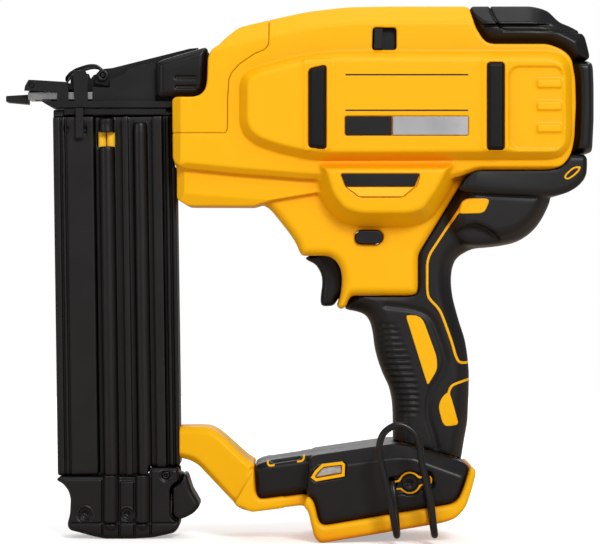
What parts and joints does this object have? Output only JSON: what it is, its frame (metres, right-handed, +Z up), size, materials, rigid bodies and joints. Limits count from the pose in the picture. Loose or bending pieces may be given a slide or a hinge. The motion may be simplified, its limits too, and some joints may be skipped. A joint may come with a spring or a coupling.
{
  "type": "cordless brad nailer",
  "caption": "Cordless brad nailer: yellow housing with black overmoulded grip, slim vertical magazine, steel nose, open battery foot and wire belt hook.",
  "frame": {"origin": "centre of the flat end face of the magazine cap, on the ground and on the parting plane of the housing", "axes": "+X from the nose towards the rear of the tool, +Y from the hook side to the far side, +Z up"},
  "size_m": [0.302, 0.0964, 0.2732],
  "materials": {
    "yellow_plastic": "fine moulded grain, satin",
    "black_plastic": "fine moulded grain, satin",
    "rubber": "matt",
    "anodised": "black anodised, satin",
    "black_steel": "black oxide, satin",
    "steel": "ground, bright",
    "aluminium": "satin",
    "copper": "enamelled winding",
    "lens": "clear lens over a silver bowl"
  },
  "bodies": {
    "body": {"housing_left": "yellow_plastic", "housing_right": "yellow_plastic", "front_cover": "yellow_plastic", "lamp_bezel": "yellow_plastic", "label_plate_left": "black_plastic", "rear_bumper": "black_plastic", "rear_cap": "black_plastic", "terminal_block": "black_plastic", "trigger_switch": "black_plastic", "control_board": "black_plastic", "nose_cover": "black_plastic", "grip_left": "rubber", "grip_right": "rubber", "side_pad_front_left": "rubber", "side_pad_front_right": "rubber", "side_pad_rear_left": "rubber", "side_pad_rear_right": "rubber", "foot_cover_left": "rubber", "foot_cover_right": "rubber", "bumper_stop": "rubber", "magazine_track": "anodised", "latch_pin": "black_steel", "belt_hook": "black_steel", "belt_hook_screw": "black_steel", "nose_block": "black_steel", "housing_screw_front": "black_steel", "housing_screw_top": "black_steel", "housing_screw_neck": "black_steel", "housing_screw_arm": "black_steel", "trigger_spring": "steel", "guide_rail_left": "steel", "guide_rail_right": "steel", "return_spring_left": "steel", "return_spring_right": "steel", "badge_plate_left": "aluminium", "drive_frame": "aluminium", "motor_stator": "copper", "solenoid": "copper", "lamp_lens": "lens"},
    "trigger": {"trigger": "black_plastic"},
    "lock_off": {"lock_off_button": "black_plastic"},
    "stall_release": {"stall_release_lever": "black_plastic"},
    "contact_trip": {"contact_trip": "steel", "no_mar_tip": "rubber", "trip_link": "black_steel"},
    "nose_door": {"nose_door": "black_steel"},
    "jam_latch": {"jam_latch": "black_steel"},
    "latch_bail": {"latch_bail": "black_steel"},
    "magazine_cover": {"magazine_cover": "anodised", "end_cap": "black_plastic", "cap_screw_front": "black_steel", "cap_screw_rear": "black_steel"},
    "magazine_latch": {"magazine_latch": "black_plastic"},
    "pusher": {"pusher": "black_plastic", "pusher_tab": "yellow_plastic"},
    "driver": {"driver": "steel"},
    "flywheel": {"flywheel": "steel", "motor_shaft": "steel"},
    "pinch_roller": {"pinch_roller": "steel"},
    "mode_selector": {"mode_selector": "yellow_plastic"}
  },
  "joints": [
    {"name": "trigger_pull", "type": "hinge", "parent": "body", "child": "trigger", "pos_m": [0.1069, 0, 0.1516], "axis": [0, -1, 0], "range_deg": [0, 8], "stiffness_Nm_per_rad": 0.4, "springref_deg": -8.59, "deforming": ["trigger_spring"]},
    {"name": "lock_off_slide", "type": "slide", "parent": "body", "child": "lock_off", "axis": [0, 1, 0], "range_m": [-0.0024, 0.0024]},
    {"name": "stall_release_slide", "type": "slide", "parent": "body", "child": "stall_release", "axis": [1, 0, 0], "range_m": [0, 0.006], "stiffness_N_per_m": 200, "springref_m": -0.003},
    {"name": "contact_trip_slide", "type": "slide", "parent": "body", "child": "contact_trip", "axis": [1, 0, 0], "range_m": [0, 0.0064], "stiffness_N_per_m": 400, "springref_m": -0.01},
    {"name": "nose_door_hinge", "type": "hinge", "parent": "body", "child": "nose_door", "pos_m": [-0.0458, 0, 0.2333], "axis": [0, -1, 0], "range_deg": [0, 30]},
    {"name": "jam_latch_hinge", "type": "hinge", "parent": "body", "child": "jam_latch", "pos_m": [-0.0093, 0, 0.2387], "axis": [0, -1, 0], "range_deg": [0, 50]},
    {"name": "latch_bail_hinge", "type": "hinge", "parent": "body", "child": "latch_bail", "pos_m": [-0.0093, 0, 0.2387], "axis": [0, 1, 0], "range_deg": [0, 60]},
    {"name": "magazine_slide", "type": "slide", "parent": "body", "child": "magazine_cover", "axis": [0.014, 0, -0.9999], "range_m": [0, 0.06]},
    {"name": "magazine_latch_hinge", "type": "hinge", "parent": "magazine_cover", "child": "magazine_latch", "pos_m": [0.0236, 0, 0.0328], "axis": [0, -1, 0], "range_deg": [0, 10], "stiffness_Nm_per_rad": 0.2, "springref_deg": -11.46},
    {"name": "pusher_slide", "type": "slide", "parent": "body", "child": "pusher", "axis": [0.014, 0, -0.9999], "range_m": [0, 0.125], "stiffness_N_per_m": 20, "springref_m": -0.2},
    {"name": "driver_slide", "type": "slide", "parent": "body", "child": "driver", "axis": [-1, 0, 0], "range_m": [0, 0.05], "stiffness_N_per_m": 60, "springref_m": -0.03, "deforming": ["return_spring_left", "return_spring_right"]},
    {"name": "flywheel_spin", "type": "hinge", "parent": "body", "child": "flywheel", "pos_m": [0.1315, 0, 0.1962], "axis": [0, 1, 0], "continuous": true},
    {"name": "pinch_roller_spin", "type": "hinge", "parent": "body", "child": "pinch_roller", "pos_m": [0.1315, 0, 0.2386], "axis": [0, 1, 0], "continuous": true},
    {"name": "mode_selector_slide", "type": "slide", "parent": "body", "child": "mode_selector", "axis": [1, 0, 0], "range_m": [0, 0.007]}
  ],
  "couplings": [
    {"joint": "nose_door_hinge", "follows": "latch_bail_hinge", "ratio": 0.5}
  ]
}
